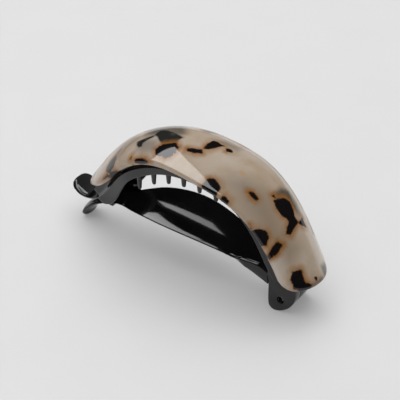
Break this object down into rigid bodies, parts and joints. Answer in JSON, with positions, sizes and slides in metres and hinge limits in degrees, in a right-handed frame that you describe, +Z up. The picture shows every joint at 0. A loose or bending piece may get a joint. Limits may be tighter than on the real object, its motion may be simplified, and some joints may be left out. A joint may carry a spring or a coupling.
{
  "type": "ponytail clip",
  "caption": "Arched ponytail clip: a glossy tortoise-patterned cover plate on a black moulded frame with teeth, and a black arm hinged under it.",
  "frame": {"origin": "middle of the clip's box, on the surface that it stands on", "axes": "+X along the clip towards the hinge, +Y across it, +Z up"},
  "size_m": [0.103, 0.0268, 0.0488],
  "materials": {
    "tortoise_acetate": "polished cream acetate with brown-black patches",
    "black_plastic": "glossy moulded black",
    "steel": "plain pin end"
  },
  "bodies": {
    "lower": {"lower_arm": "black_plastic"},
    "upper": {"cover": "tortoise_acetate", "upper_frame": "black_plastic", "hinge_pin": "steel"}
  },
  "joints": [
    {"name": "clip_hinge", "type": "hinge", "parent": "lower", "child": "upper", "pos_m": [0.04016, 0, 0.005], "axis": [0, 1, 0], "range_deg": [0, 50]}
  ]
}
